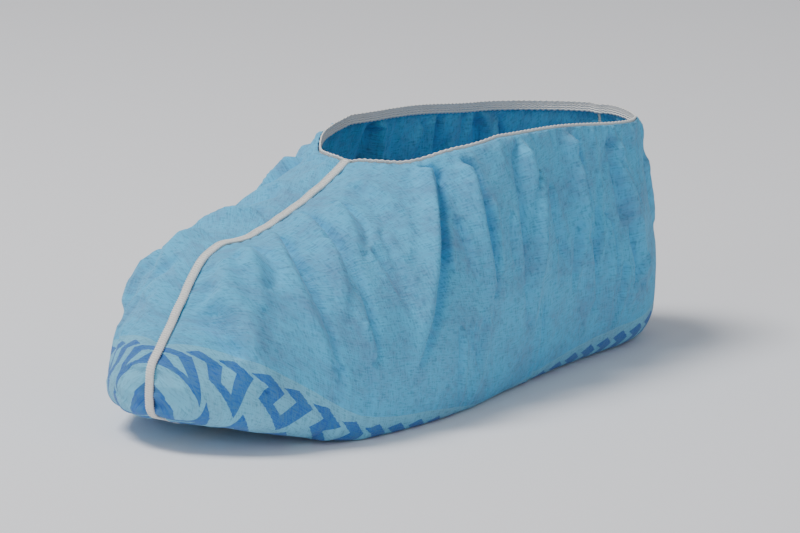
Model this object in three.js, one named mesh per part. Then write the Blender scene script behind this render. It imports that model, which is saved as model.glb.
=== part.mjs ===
// A disposable shoe cover in the form it has when worn. Two printed cloth side panels meet in the
// centre plane, where a bound elastic seam joins them from the instep round the toe, under the sole
// and up the heel. A flat elastic runs round the inside of the foot opening's edge.
// Millimetres. The toe points along -X, the wearer's left is -Y, and the sole rests on Z = 0.

import * as THREE from "three";

// Driving dimensions of the worn cover
const LENGTH = 310; // toe to heel
const HALF_WIDTH = 63; // centre plane to the widest side
const CROWN_HEIGHT = 108; // floor to the crown that the sections' up columns are shares of
const OPENING_HALF_WIDTH = 40; // centre plane to the side of the opening
const HEEL_LEAN = 12; // how far the heel's upper edge leans forward of the heel's back
const CLOTH_WALL = 1.2;
const CLEARANCE = 0.3; // gap between pieces that touch on the real cover

// Centre seam binding
const SEAM_WIDTH = 3.6;
const SEAM_DEPTH = 2.0;
const SEAM_PROUD = 0.9; // how far it stands out of the cloth, away from the floor

// Elastic inside the opening's edge
const ELASTIC_WIDTH = 4.2;
const ELASTIC_THICKNESS = 0.8;
const ELASTIC_PROUD = 0.9; // how far it shows above the cloth's edge
const ELASTIC_GAP = 1.0; // clears the puckers of the cloth outside it

// Folds and gathers of the cloth
const FOLD_RISE = 5; // height of the tallest fold
const FOLD_WIDTH = 14; // ridge to foot of the widest fold
const FOLD_FADE = 9; // folds die out over this width beside a sewn edge
const GATHER_RISE = 1.2; // puckers beside the sewn edge and the opening
const GATHER_PITCH = 17;
const GATHER_REACH = 11; // from the edge to the highest place of the puckers
const GIRTH = 200; // measures how far up the cloth a fold lies

// Places along the foot, as shares of LENGTH from the toe
const OPENING_FRONT = 0.4;
const TOE_ROUND = 0.17; // where the toe's rounding ends
const HEEL_ROUND = 0.16;
const OPENING_FRONT_ROUND = 0.17;
const OPENING_BACK_ROUND = 0.13;

// Mesh density
const VAMP_STEPS = 26; // stations from the toe to the opening's front corner
const QUARTER_STEPS = 31; // stations from there to the heel
const UP_STEPS = 20; // points from the sole's centre up to the top edge
const OUTLINE_SAMPLES = 240; // samples that measure the outline for even stations

// Cross-sections of one half. at is a share of LENGTH, out columns are shares of HALF_WIDTH
// and up columns are shares of CROWN_HEIGHT. lift is the sole's height over the floor, foot is
// where the sole's flat ends, side is the widest place and handle bends the upper's curve.
const SECTIONS = [
  { at: 0.0, liftUp: 0.14, footOut: 0.51, sideOut: 0.79, sideUp: 0.21, handleOut: 0.45, handleUp: 0.28, topUp: 0.30 },
  { at: 0.04, liftUp: 0.10, footOut: 0.57, sideOut: 0.83, sideUp: 0.18, handleOut: 0.53, handleUp: 0.43, topUp: 0.44 },
  { at: 0.11, liftUp: 0.05, footOut: 0.65, sideOut: 0.82, sideUp: 0.17, handleOut: 0.60, handleUp: 0.72, topUp: 0.67 },
  { at: 0.2, liftUp: 0.00, footOut: 0.85, sideOut: 0.95, sideUp: 0.21, handleOut: 0.65, handleUp: 0.79, topUp: 0.70 },
  { at: 0.32, liftUp: 0.00, footOut: 0.92, sideOut: 1.01, sideUp: 0.22, handleOut: 0.64, handleUp: 0.90, topUp: 0.80 },
  { at: 0.42, liftUp: 0.00, footOut: 0.89, sideOut: 0.99, sideUp: 0.23, handleOut: 0.73, handleUp: 0.95, topUp: 0.93 },
  { at: 0.48, liftUp: 0.00, footOut: 0.84, sideOut: 0.95, sideUp: 0.28, handleOut: 0.74, handleUp: 1.02, topUp: 1.01 },
  { at: 0.55, liftUp: 0.00, footOut: 0.76, sideOut: 0.92, sideUp: 0.31, handleOut: 0.76, handleUp: 0.95, topUp: 0.98 },
  { at: 0.7, liftUp: 0.00, footOut: 0.62, sideOut: 0.82, sideUp: 0.34, handleOut: 0.68, handleUp: 0.76, topUp: 0.96 },
  { at: 0.85, liftUp: 0.00, footOut: 0.55, sideOut: 0.78, sideUp: 0.35, handleOut: 0.62, handleUp: 0.75, topUp: 0.92 },
  { at: 0.97, liftUp: 0.02, footOut: 0.53, sideOut: 0.78, sideUp: 0.35, handleOut: 0.59, handleUp: 0.74, topUp: 0.90 },
  { at: 1.0, liftUp: 0.12, footOut: 0.52, sideOut: 0.76, sideUp: 0.35, handleOut: 0.57, handleUp: 0.73, topUp: 0.90 },
];

// Folds. at and up say where each starts and ends: at is a share of LENGTH from the toe, and up is
// the cloth's length from the sole's centre as a share of GIRTH. bow bends the fold along the
// foot, width is a share of FOLD_WIDTH and rise of FOLD_RISE.
const LEFT_FOLDS = [
  { fromAt: 0.08, fromUp: 0.57, toAt: 0.053, toUp: 0.34, bow: -0.003, width: 0.4, rise: -0.6 },
  { fromAt: 0.102, fromUp: 0.61, toAt: 0.073, toUp: 0.29, bow: -0.014, width: 0.5, rise: 0.8 },
  { fromAt: 0.136, fromUp: 0.68, toAt: 0.112, toUp: 0.55, bow: 0.0, width: 0.4, rise: 0.5 },
  { fromAt: 0.187, fromUp: 0.76, toAt: 0.152, toUp: 0.42, bow: -0.02, width: 0.5, rise: 0.9 },
  { fromAt: 0.256, fromUp: 0.85, toAt: 0.213, toUp: 0.46, bow: -0.012, width: 0.6, rise: 1.0 },
  { fromAt: 0.302, fromUp: 0.81, toAt: 0.27, toUp: 0.69, bow: 0.0, width: 0.5, rise: 0.5 },
  { fromAt: 0.35, fromUp: 0.84, toAt: 0.33, toUp: 0.68, bow: 0.0, width: 0.5, rise: -0.4 },
  { fromAt: 0.437, fromUp: 0.79, toAt: 0.296, toUp: 0.45, bow: 0.0, width: 0.65, rise: 1.0 },
  { fromAt: 0.485, fromUp: 0.76, toAt: 0.472, toUp: 0.52, bow: -0.006, width: 0.55, rise: 0.9 },
  { fromAt: 0.6, fromUp: 0.73, toAt: 0.57, toUp: 0.42, bow: 0.01, width: 0.7, rise: 0.7 },
  { fromAt: 0.72, fromUp: 0.7, toAt: 0.73, toUp: 0.36, bow: -0.01, width: 0.6, rise: 0.8 },
  { fromAt: 0.84, fromUp: 0.65, toAt: 0.87, toUp: 0.36, bow: 0.0, width: 0.6, rise: 0.7 },
];
const RIGHT_FOLDS = [
  { fromAt: 0.09, fromUp: 0.6, toAt: 0.06, toUp: 0.34, bow: -0.01, width: 0.45, rise: 0.6 },
  { fromAt: 0.16, fromUp: 0.72, toAt: 0.12, toUp: 0.44, bow: -0.015, width: 0.5, rise: 0.7 },
  { fromAt: 0.25, fromUp: 0.83, toAt: 0.19, toUp: 0.45, bow: -0.01, width: 0.6, rise: 0.9 },
  { fromAt: 0.31, fromUp: 0.83, toAt: 0.27, toUp: 0.6, bow: 0.0, width: 0.6, rise: -0.7 },
  { fromAt: 0.42, fromUp: 0.78, toAt: 0.31, toUp: 0.46, bow: 0.01, width: 0.6, rise: 0.9 },
  { fromAt: 0.5, fromUp: 0.74, toAt: 0.46, toUp: 0.46, bow: 0.0, width: 0.6, rise: 0.8 },
  { fromAt: 0.63, fromUp: 0.71, toAt: 0.64, toUp: 0.4, bow: -0.01, width: 0.65, rise: 0.8 },
  { fromAt: 0.77, fromUp: 0.68, toAt: 0.76, toUp: 0.38, bow: 0.01, width: 0.6, rise: 0.7 },
  { fromAt: 0.88, fromUp: 0.64, toAt: 0.9, toUp: 0.34, bow: 0.0, width: 0.6, rise: 0.6 },
];

const seamHalf = SEAM_WIDTH / 2 + CLEARANCE; // centre plane to each panel's sewn edge

// Value of one column of a table at a share along the foot, on a smooth curve through its rows.
function columnAt(rows, key, at) {
  const last = rows.length - 1;
  let row = 0;
  while (row < last - 1 && at > rows[row + 1].at) row += 1;
  const [before, from, to, after] = [row - 1, row, row + 1, row + 2].map(
    (index) => rows[Math.min(Math.max(index, 0), last)],
  );
  const span = to.at - from.at;
  const share = THREE.MathUtils.clamp((at - from.at) / span, 0, 1);
  const slopeFrom = ((to[key] - before[key]) / (to.at - before.at)) * span;
  const slopeTo = ((after[key] - from[key]) / (after.at - from.at)) * span;
  const square = share * share;
  const cube = square * share;
  return (
    (2 * cube - 3 * square + 1) * from[key] +
    (cube - 2 * square + share) * slopeFrom +
    (3 * square - 2 * cube) * to[key] +
    (cube - square) * slopeTo
  );
}

// Rises from 0 to 1 as a quarter ellipse while share goes from 0 to 1, then stays at 1.
function quarterEllipse(share) {
  const left = 1 - THREE.MathUtils.clamp(share, 0, 1);
  return Math.sqrt(1 - left * left);
}

// How much of its full width the cover has at a share along the foot.
function endRounding(at) {
  return quarterEllipse(at / TOE_ROUND) * quarterEllipse((1 - at) / HEEL_ROUND);
}

// Half-width of a column of the section table, rounded off at the toe and the heel.
function outAt(key, at) {
  return seamHalf + (columnAt(SECTIONS, key, at) * HALF_WIDTH - seamHalf) * endRounding(at);
}

// Half-width of the top edge: the sewn edge before the opening, the opening's outline after it.
function topOut(at) {
  const front = quarterEllipse((at - OPENING_FRONT) / OPENING_FRONT_ROUND);
  const back = quarterEllipse((1 - at) / OPENING_BACK_ROUND);
  return seamHalf + (OPENING_HALF_WIDTH - seamHalf) * front * back;
}

// Outline of one half's cross-section, from the sole's centre to the crown. The two halves' crowns
// meet before the opening and part slowly behind its front.
function sectionPath(at) {
  const up = (key) => columnAt(SECTIONS, key, at) * CROWN_HEIGHT;
  const floorUp = Math.max(up("liftUp"), 0);
  const parted = THREE.MathUtils.smoothstep(at, OPENING_FRONT, OPENING_FRONT + OPENING_FRONT_ROUND);
  const crownOut = THREE.MathUtils.lerp(seamHalf, topOut(at), parted);
  const heart = new THREE.Vector2(seamHalf, floorUp);
  const foot = new THREE.Vector2(outAt("footOut", at), floorUp);
  const side = new THREE.Vector2(outAt("sideOut", at), up("sideUp"));
  const crown = new THREE.Vector2(crownOut, up("topUp"));
  const handle = new THREE.Vector2(Math.max(outAt("handleOut", at), crown.x), up("handleUp"));
  const overSide = new THREE.Vector2(side.x, THREE.MathUtils.lerp(side.y, crown.y, 0.35));
  const path = new THREE.CurvePath();
  path.add(new THREE.LineCurve(heart, foot));
  path.add(new THREE.QuadraticBezierCurve(foot, new THREE.Vector2(side.x, floorUp), side));
  path.add(new THREE.CubicBezierCurve(side, overSide, handle, crown));
  return path;
}

// Share of the outline's length at which the opening cuts it, found by halving. It is 1 where
// the crown isn't cut.
function openingCut(path, at) {
  const edgeOut = topOut(at);
  let inside = 1;
  let outside = 0.5;
  if (path.getPoint(1).x >= edgeOut) return 1;
  for (let halving = 0; halving < 20; halving += 1) {
    const middle = (inside + outside) / 2;
    if (path.getPoint(middle).x < edgeOut) inside = middle;
    else outside = middle;
  }
  return outside;
}

// Points of one half's cross-section, from the sole's centre to the top edge. A cut outline
// draws the upper points together and leaves the sole's in place.
function sectionPoints(at) {
  const path = sectionPath(at);
  const cut = openingCut(path, at);
  const points = [];
  for (let index = 0; index <= UP_STEPS; index += 1) {
    const even = index / UP_STEPS;
    points.push(path.getPoint(even * (1 - (1 - cut) * even ** 2)));
  }
  return points;
}

// Shares along the foot of stations that lie evenly along the outlines of the side and the opening.
function evenStations(from, to, steps) {
  const shares = [];
  const travelled = [];
  let before = null;
  for (let sample = 0; sample <= OUTLINE_SAMPLES; sample += 1) {
    const at = THREE.MathUtils.lerp(from, to, sample / OUTLINE_SAMPLES);
    const here = new THREE.Vector3(at * LENGTH, outAt("sideOut", at), topOut(at));
    shares.push(at);
    travelled.push(before ? travelled.at(-1) + here.distanceTo(before) : 0);
    before = here;
  }
  const stations = [];
  let sample = 1;
  for (let step = 0; step <= steps; step += 1) {
    const goal = (travelled.at(-1) * step) / steps;
    while (sample < OUTLINE_SAMPLES && travelled[sample] < goal) sample += 1;
    const share = (goal - travelled[sample - 1]) / (travelled[sample] - travelled[sample - 1]);
    stations.push(THREE.MathUtils.lerp(shares[sample - 1], shares[sample], share));
  }
  return stations;
}

const stations = [
  ...evenStations(0, OPENING_FRONT, VAMP_STEPS),
  ...evenStations(OPENING_FRONT, 1, QUARTER_STEPS).slice(1),
];
const lastStation = stations.length - 1;

// How far a point at this height leans forward, which grows towards the heel.
function lean(at, height) {
  const rear = THREE.MathUtils.smoothstep(at, 1 - 2 * HEEL_ROUND, 1);
  return HEEL_LEAN * rear * (height / CROWN_HEIGHT) ** 2;
}

// Smooth grid of points of one half, on the side where Y is positive: grid[station][point].
function smoothGrid() {
  return stations.map((at) =>
    sectionPoints(at).map(
      (point) => new THREE.Vector3((at - 0.5) * LENGTH - lean(at, point.y), point.x, point.y),
    ),
  );
}

// Corner indices of the grid's triangles, facing out on the side where Y is positive.
function gridFaces(rows, columns) {
  const faces = [];
  for (let row = 0; row < rows - 1; row += 1) {
    for (let column = 0; column < columns - 1; column += 1) {
      const a = row * columns + column;
      const b = a + columns;
      faces.push(a, a + 1, b + 1, a, b + 1, b);
    }
  }
  return faces;
}

// Whether a grid point lies on the sewn edge, which stays in the centre plane.
function isSewn(station, index) {
  const atEnd = station === 0 || station === lastStation;
  const onSeamTop = index === UP_STEPS && station <= VAMP_STEPS;
  return atEnd || index === 0 || onSeamTop;
}

// Outward unit normals of a grid. Those on the sewn edge lie in the centre plane, and those at the
// grid's corners are the mean of their neighbours.
function gridNormals(grid) {
  const columns = UP_STEPS + 1;
  const geometry = new THREE.BufferGeometry();
  const positions = grid.flat().flatMap((point) => point.toArray());
  geometry.setAttribute("position", new THREE.Float32BufferAttribute(positions, 3));
  geometry.setIndex(gridFaces(grid.length, columns));
  geometry.computeVertexNormals();
  const attribute = geometry.getAttribute("normal");
  const normals = grid.map((row, station) =>
    row.map((_, index) => {
      const normal = new THREE.Vector3().fromBufferAttribute(attribute, station * columns + index);
      if (isSewn(station, index)) normal.y = 0;
      return normal.normalize();
    }),
  );
  for (const [station, beside] of [[0, 1], [lastStation, lastStation - 1]]) {
    for (const [index, next] of [[0, 1], [UP_STEPS, UP_STEPS - 1]]) {
      const corner = normals[station][index];
      corner.addVectors(normals[station][next], normals[beside][index]).setY(0).normalize();
    }
  }
  return normals;
}

// Height of the folds over the smooth cloth at a place on the panel.
function foldHeight(folds, at, up) {
  let height = 0;
  for (const fold of folds) {
    const along = new THREE.Vector2(fold.toAt - fold.fromAt, fold.toUp - fold.fromUp);
    const here = new THREE.Vector2(at - fold.fromAt, up - fold.fromUp);
    const share = THREE.MathUtils.clamp(here.dot(along) / along.lengthSq(), 0, 1);
    const ridge = along.clone().multiplyScalar(share);
    ridge.x += fold.bow * Math.sin(Math.PI * share);
    const away = Math.hypot((here.x - ridge.x) * LENGTH, (here.y - ridge.y) * GIRTH);
    const reach = away / (fold.width * FOLD_WIDTH);
    height += fold.rise * FOLD_RISE * (1 - reach * reach) * Math.exp(-reach * reach);
  }
  return height;
}

// Height of the puckers, which are highest a little way in from the top edge.
function gatherHeight(at, edgeDistance) {
  const wave = Math.sin((2 * Math.PI * at * LENGTH) / GATHER_PITCH);
  const reach = edgeDistance / GATHER_REACH;
  return GATHER_RISE * wave * reach * Math.exp(1 - reach);
}

// Grid of the folded cloth's outside. No point goes below the floor.
function clothGrid(folds) {
  const grid = smoothGrid();
  const normals = gridNormals(grid);
  return grid.map((row, station) => {
    const at = stations[station];
    const endDistance = Math.min(row[0].distanceTo(grid[0][0]), row[0].distanceTo(grid.at(-1)[0]));
    let climb = 0;
    return row.map((point, index) => {
      climb += point.distanceTo(row[Math.max(index - 1, 0)]);
      const edgeDistance = point.distanceTo(row.at(-1));
      const near = Math.min(edgeDistance, point.distanceTo(row[0]), 2 * endDistance);
      const fade = THREE.MathUtils.smoothstep(near, 0, FOLD_FADE);
      const folded = foldHeight(folds, at, climb / GIRTH);
      const height = fade * (folded + gatherHeight(at, edgeDistance));
      const moved = point.clone().addScaledVector(normals[station][index], height);
      moved.z = Math.max(moved.z, 0);
      return moved;
    });
  });
}

function meshOf(name, positions, faces, material) {
  const geometry = new THREE.BufferGeometry();
  geometry.setAttribute("position", new THREE.Float32BufferAttribute(positions, 3));
  geometry.setIndex(faces);
  geometry.computeVertexNormals();
  const mesh = new THREE.Mesh(geometry, material);
  mesh.name = name;
  return mesh;
}

// Side panel: a closed shell between the cloth's outside and the same grid moved in by the wall.
function panel(name, folds, side) {
  const outer = clothGrid(folds);
  const normals = gridNormals(outer);
  const inner = outer.map((row, station) =>
    row.map((point, index) => point.clone().addScaledVector(normals[station][index], -CLOTH_WALL)),
  );
  const columns = UP_STEPS + 1;
  const count = outer.length * columns;
  const outside = gridFaces(outer.length, columns);
  const inside = gridFaces(outer.length, columns).map((corner) => count + corner);
  inside.reverse();
  const rim = [];
  for (let index = 0; index < UP_STEPS; index += 1) rim.push(index);
  for (let station = 0; station < lastStation; station += 1) {
    rim.push(station * columns + UP_STEPS);
  }
  for (let index = UP_STEPS; index > 0; index -= 1) rim.push(lastStation * columns + index);
  for (let station = lastStation; station > 0; station -= 1) rim.push(station * columns);
  const around = rim.flatMap((from, index) => {
    const to = rim[(index + 1) % rim.length];
    return [to, from, count + from, to, count + from, count + to];
  });
  const faces = [...outside, ...inside, ...around];
  if (side < 0) faces.reverse();
  const positions = [...outer.flat(), ...inner.flat()].flatMap(
    (point) => [point.x, side * point.y, point.z],
  );
  return meshOf(name, positions, faces, cloth);
}

// Solid swept along frames of a centre point and two unit directions. profile lists the corners
// of the cross-section along those directions. A closed sweep joins its last frame to the first.
function sweep(name, frames, profile, closed, material) {
  const positions = frames.flatMap(({ centre, across, out }) =>
    profile.flatMap(([acrossBy, outBy]) =>
      centre.clone().addScaledVector(across, acrossBy).addScaledVector(out, outBy).toArray(),
    ),
  );
  const sides = profile.length;
  const faces = [];
  const joints = closed ? frames.length : frames.length - 1;
  for (let frame = 0; frame < joints; frame += 1) {
    const next = (frame + 1) % frames.length;
    for (let corner = 0; corner < sides; corner += 1) {
      const beside = (corner + 1) % sides;
      const a = frame * sides + corner;
      const b = frame * sides + beside;
      const c = next * sides + beside;
      const d = next * sides + corner;
      faces.push(a, b, c, a, c, d);
    }
  }
  if (!closed) {
    const last = (frames.length - 1) * sides;
    for (let corner = 1; corner < sides - 1; corner += 1) {
      faces.push(0, corner + 1, corner);
      faces.push(last, last + corner, last + corner + 1);
    }
  }
  return meshOf(name, positions, faces, material);
}

// Bound seam: follows the sewn edge from the opening's front corner round to its back corner.
function seamBinding() {
  const grid = smoothGrid();
  const normals = gridNormals(grid);
  const places = [];
  for (let station = VAMP_STEPS; station > 0; station -= 1) places.push([station, UP_STEPS]);
  for (let index = UP_STEPS; index > 0; index -= 4) places.push([0, index]);
  for (let station = 0; station < lastStation; station += 1) places.push([station, 0]);
  for (let index = 0; index <= UP_STEPS; index += 2) places.push([lastStation, index]);
  const across = new THREE.Vector3(0, 1, 0);
  const frames = places.map(([station, index]) => {
    const out = normals[station][index];
    const centre = grid[station][index].clone();
    centre.addScaledVector(out, SEAM_PROUD - SEAM_DEPTH / 2);
    centre.y = 0;
    centre.z = Math.max(centre.z, SEAM_DEPTH / 2);
    return { centre, across, out };
  });
  const flat = SEAM_WIDTH / 4;
  const half = SEAM_DEPTH / 2;
  const profile = [
    [SEAM_WIDTH / 2, 0],
    [flat, -half],
    [-flat, -half],
    [-SEAM_WIDTH / 2, 0],
    [-flat, half],
    [flat, half],
  ];
  return sweep("seam_binding", frames, profile, false, binding);
}

// Flat elastic: a loop under the cloth round the opening, showing a little above the edge.
function openingElastic() {
  const edges = [1, -1].map((side) => {
    const grid = clothGrid(side > 0 ? RIGHT_FOLDS : LEFT_FOLDS);
    const normals = gridNormals(grid);
    const turn = new THREE.Vector3(1, side, 1);
    const edge = [];
    for (let station = VAMP_STEPS; station <= lastStation; station += 1) {
      edge.push({
        point: grid[station][UP_STEPS].clone().multiply(turn),
        out: normals[station][UP_STEPS].clone().multiply(turn),
      });
    }
    return side > 0 ? edge : edge.reverse();
  });
  const loop = edges.flat();
  const frames = loop.map(({ point, out }, index) => {
    const next = loop[(index + 1) % loop.length].point;
    const previous = loop[(index + loop.length - 1) % loop.length].point;
    const tangent = next.clone().sub(previous).normalize();
    const across = tangent.cross(out).normalize();
    const sunk = CLOTH_WALL + ELASTIC_GAP + ELASTIC_THICKNESS / 2;
    const centre = point.clone().addScaledVector(out, -sunk);
    centre.addScaledVector(across, ELASTIC_PROUD - ELASTIC_WIDTH / 2);
    return { centre, across, out };
  });
  const half = ELASTIC_WIDTH / 2;
  const thin = ELASTIC_THICKNESS / 2;
  const profile = [
    [half, thin],
    [half, -thin],
    [-half, -thin],
    [-half, thin],
  ];
  return sweep("opening_elastic", frames, profile, true, elastic);
}

const cloth = new THREE.MeshStandardMaterial({ color: 0x58b4dc, roughness: 0.85 });
const binding = new THREE.MeshStandardMaterial({ color: 0xeeeeec, roughness: 0.8 });
const elastic = new THREE.MeshStandardMaterial({ color: 0xe8eaea, roughness: 0.75 });

const shoeCover = new THREE.Group();
shoeCover.add(panel("panel_left", LEFT_FOLDS, -1));
shoeCover.add(panel("panel_right", RIGHT_FOLDS, 1));
shoeCover.add(seamBinding());
shoeCover.add(openingElastic());

export default shoeCover;
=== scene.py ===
"""Looks of a worn cloth shoe cover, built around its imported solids. Metres, toe along -X."""

import math

import bpy
import numpy as np
from bpy.props import FloatProperty, FloatVectorProperty, IntProperty, PointerProperty
from mathutils import Matrix, Vector, noise


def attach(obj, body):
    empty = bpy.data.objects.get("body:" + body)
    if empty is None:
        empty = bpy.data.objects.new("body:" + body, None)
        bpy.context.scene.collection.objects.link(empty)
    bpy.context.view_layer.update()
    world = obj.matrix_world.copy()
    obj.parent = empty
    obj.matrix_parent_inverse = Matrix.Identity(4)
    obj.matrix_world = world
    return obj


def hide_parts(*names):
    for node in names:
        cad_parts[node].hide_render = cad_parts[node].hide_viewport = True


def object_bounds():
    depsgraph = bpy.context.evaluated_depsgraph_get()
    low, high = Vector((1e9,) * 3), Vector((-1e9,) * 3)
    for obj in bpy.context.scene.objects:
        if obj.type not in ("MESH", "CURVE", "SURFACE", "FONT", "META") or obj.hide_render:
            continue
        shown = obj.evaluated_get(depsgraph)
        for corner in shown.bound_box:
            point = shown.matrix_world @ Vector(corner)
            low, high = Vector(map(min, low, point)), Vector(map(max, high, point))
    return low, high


bl_info = {
    "name": "Worn Shoe Cover",
    "version": (1, 0, 0),
    "blender": (4, 5, 0),
    "location": "3D View > Sidebar > Shoe Cover",
    "description": "Builds a gathered cloth shoe cover with a bound seam and an elastic opening",
    "category": "Object",
}

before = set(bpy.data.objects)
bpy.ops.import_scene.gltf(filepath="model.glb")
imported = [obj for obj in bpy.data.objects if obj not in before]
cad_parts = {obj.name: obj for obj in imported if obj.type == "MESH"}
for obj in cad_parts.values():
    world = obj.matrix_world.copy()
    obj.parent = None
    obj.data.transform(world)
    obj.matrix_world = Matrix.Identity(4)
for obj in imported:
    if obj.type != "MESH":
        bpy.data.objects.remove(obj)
CAD_BOX = [[float(value) for value in corner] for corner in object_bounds()]

# Driving sizes. The solids' length sets the scale of everything that follows.
SIZE = (CAD_BOX[1][0] - CAD_BOX[0][0]) / 0.3116
MM = 0.001 * SIZE
LENGTH = 310 * MM
HALF_WIDTH = 63 * MM
CROWN_HEIGHT = 108 * MM
OPENING_HALF_WIDTH = 40 * MM
HEEL_LEAN = 12 * MM
GIRTH = 200 * MM
SEWN_EDGE_OUT = 0.9 * MM  # centre plane to the cloth's sewn edge, under the binding
OPENING_FRONT = 0.4
TOE_ROUND = 0.17
HEEL_ROUND = 0.16
OPENING_FRONT_ROUND = 0.17
OPENING_BACK_ROUND = 0.13

# Cross-sections of one half, as in the solids: at is a share of LENGTH, out columns of HALF_WIDTH
# and up columns of CROWN_HEIGHT.
SECTION_COLUMNS = ("at", "lift_up", "foot_out", "side_out", "side_up", "handle_out", "handle_up", "top_up")
SECTION_ROWS = (
    (0.0, 0.14, 0.51, 0.79, 0.21, 0.45, 0.28, 0.30),
    (0.04, 0.10, 0.57, 0.83, 0.18, 0.53, 0.43, 0.44),
    (0.11, 0.05, 0.65, 0.82, 0.17, 0.60, 0.72, 0.67),
    (0.2, 0.0, 0.85, 0.95, 0.21, 0.65, 0.79, 0.70),
    (0.32, 0.0, 0.92, 1.01, 0.22, 0.64, 0.90, 0.80),
    (0.42, 0.0, 0.89, 0.99, 0.23, 0.73, 0.95, 0.93),
    (0.48, 0.0, 0.84, 0.95, 0.28, 0.74, 1.02, 1.01),
    (0.55, 0.0, 0.76, 0.92, 0.31, 0.76, 0.95, 0.98),
    (0.7, 0.0, 0.62, 0.82, 0.34, 0.68, 0.76, 0.96),
    (0.85, 0.0, 0.55, 0.78, 0.35, 0.62, 0.75, 0.92),
    (0.97, 0.02, 0.53, 0.78, 0.35, 0.59, 0.74, 0.90),
    (1.0, 0.12, 0.52, 0.76, 0.35, 0.57, 0.73, 0.90),
)
SECTIONS = dict(zip(SECTION_COLUMNS, (np.array(column) for column in zip(*SECTION_ROWS))))

# Main folds. Ends are shares of LENGTH and GIRTH, width is a share of FOLD_WIDTH and rise of
# FOLD_RISE. skew says how steep the side towards the heel is, or the toe's side if negative.
FOLD_COLUMNS = ("from_at", "from_up", "to_at", "to_up", "bow", "width", "rise", "skew")
LEFT_FOLDS = (
    (0.080, 0.57, 0.053, 0.34, -0.003, 0.35, -0.7, 0.3),
    (0.102, 0.61, 0.073, 0.29, -0.014, 0.45, 1.0, -0.8),
    (0.136, 0.68, 0.112, 0.55, 0.0, 0.35, 0.6, 0.7),
    (0.187, 0.76, 0.152, 0.42, -0.020, 0.45, 1.0, 0.8),
    (0.256, 0.85, 0.213, 0.46, -0.012, 0.55, 1.1, 0.9),
    (0.302, 0.81, 0.270, 0.69, 0.0, 0.4, 0.6, 0.6),
    (0.350, 0.84, 0.330, 0.68, 0.0, 0.5, -0.4, 0.4),
    (0.437, 0.79, 0.296, 0.45, 0.0, 0.55, 1.15, 0.9),
    (0.485, 0.76, 0.472, 0.52, -0.006, 0.5, 1.0, 0.9),
    (0.600, 0.73, 0.570, 0.42, 0.010, 0.6, 0.8, -0.6),
    (0.720, 0.70, 0.730, 0.36, -0.010, 0.55, 0.9, 0.6),
    (0.840, 0.65, 0.870, 0.36, 0.0, 0.55, 0.8, -0.7),
)
RIGHT_FOLDS = (
    (0.090, 0.60, 0.060, 0.34, -0.010, 0.4, 0.7, 0.7),
    (0.160, 0.72, 0.120, 0.44, -0.015, 0.45, 0.8, 0.8),
    (0.250, 0.83, 0.190, 0.45, -0.010, 0.55, 0.9, 0.8),
    (0.310, 0.83, 0.270, 0.60, 0.0, 0.55, -0.6, 0.4),
    (0.420, 0.78, 0.310, 0.46, 0.010, 0.55, 1.0, -0.8),
    (0.500, 0.74, 0.460, 0.46, 0.0, 0.5, 0.9, 0.8),
    (0.630, 0.71, 0.640, 0.40, -0.010, 0.6, 0.9, 0.7),
    (0.770, 0.68, 0.760, 0.38, 0.010, 0.55, 0.8, -0.8),
    (0.880, 0.64, 0.900, 0.34, 0.0, 0.5, 0.7, 0.6),
)
FOLD_WIDTH = 14 * MM
FOLD_RISE = 6 * MM
FOLD_FADE = 9 * MM  # the folds die out this far from the sewn edges
INSTEP_FADE = 20 * MM  # the cloth lies flatter beside the seam over the instep
SMALL_FOLDS = 40  # short seeded folds between the main ones, on each panel
# Crumple, wide and fine: length along, length up, middle of the noise, rise
CRUMPLE_SIZES = ((26 * MM, 34 * MM, 0.35, 1.5 * MM), (8 * MM, 11 * MM, 0.3, 0.55 * MM))

# Gathers beside the seam and the opening
SEAM_PLEAT_REACH = 26 * MM
OPENING_PLEAT_REACH = 24 * MM
PUFF_RISE = 0.8 * MM  # the cloth bulges a little beside the seam
PUFF_REACH = 7 * MM
RUFFLE_RISE = 0.35 * MM
RUFFLE_PITCH = 3.9 * MM
RUFFLE_DRIFT = 9 * MM
RUFFLE_FADE = 3 * MM
CALM_REACH = 9 * MM  # beside the opening no crease goes deeper than CALM_DEPTH
CALM_DEPTH = 0.1 * MM
SOLE_TOP = 2 * MM  # the gathers are lower under this level, blended over SOLE_BLEND
SOLE_BLEND = 10 * MM

# Mesh density
STATIONS = 330
POINTS_UP = 132
LINE_STEP = 0.8 * MM
SEAM_SIDES = 14
YARN_SIDES = 5
YARN_STEPS = 14  # rings in each turn of the yarn
BAND_STEP = 0.45 * MM

# Seam and elastic
SEAM_OUT = 1.2 * MM  # sewn edge to the middle of the bound seam
SEAM_WAVES = ((0.12 * MM, 3.1 * MM, 0), (0.1 * MM, 1.9 * MM, 1))  # rise, length, start
YARN_PITCH = 0.95 * MM
BAND_GAP = 0.35 * MM  # cloth to elastic
BAND_PROUD = 1.1 * MM  # how far the elastic stands above the cloth's edge
BAND_RIBS = 4
BAND_GATHER = 0.16
BAND_GATHER_PITCH = 1.35 * MM
BAND_WAVE_RISE = 0.16 * MM
BAND_WAVE_PITCH = 2 * BAND_GATHER_PITCH


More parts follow.
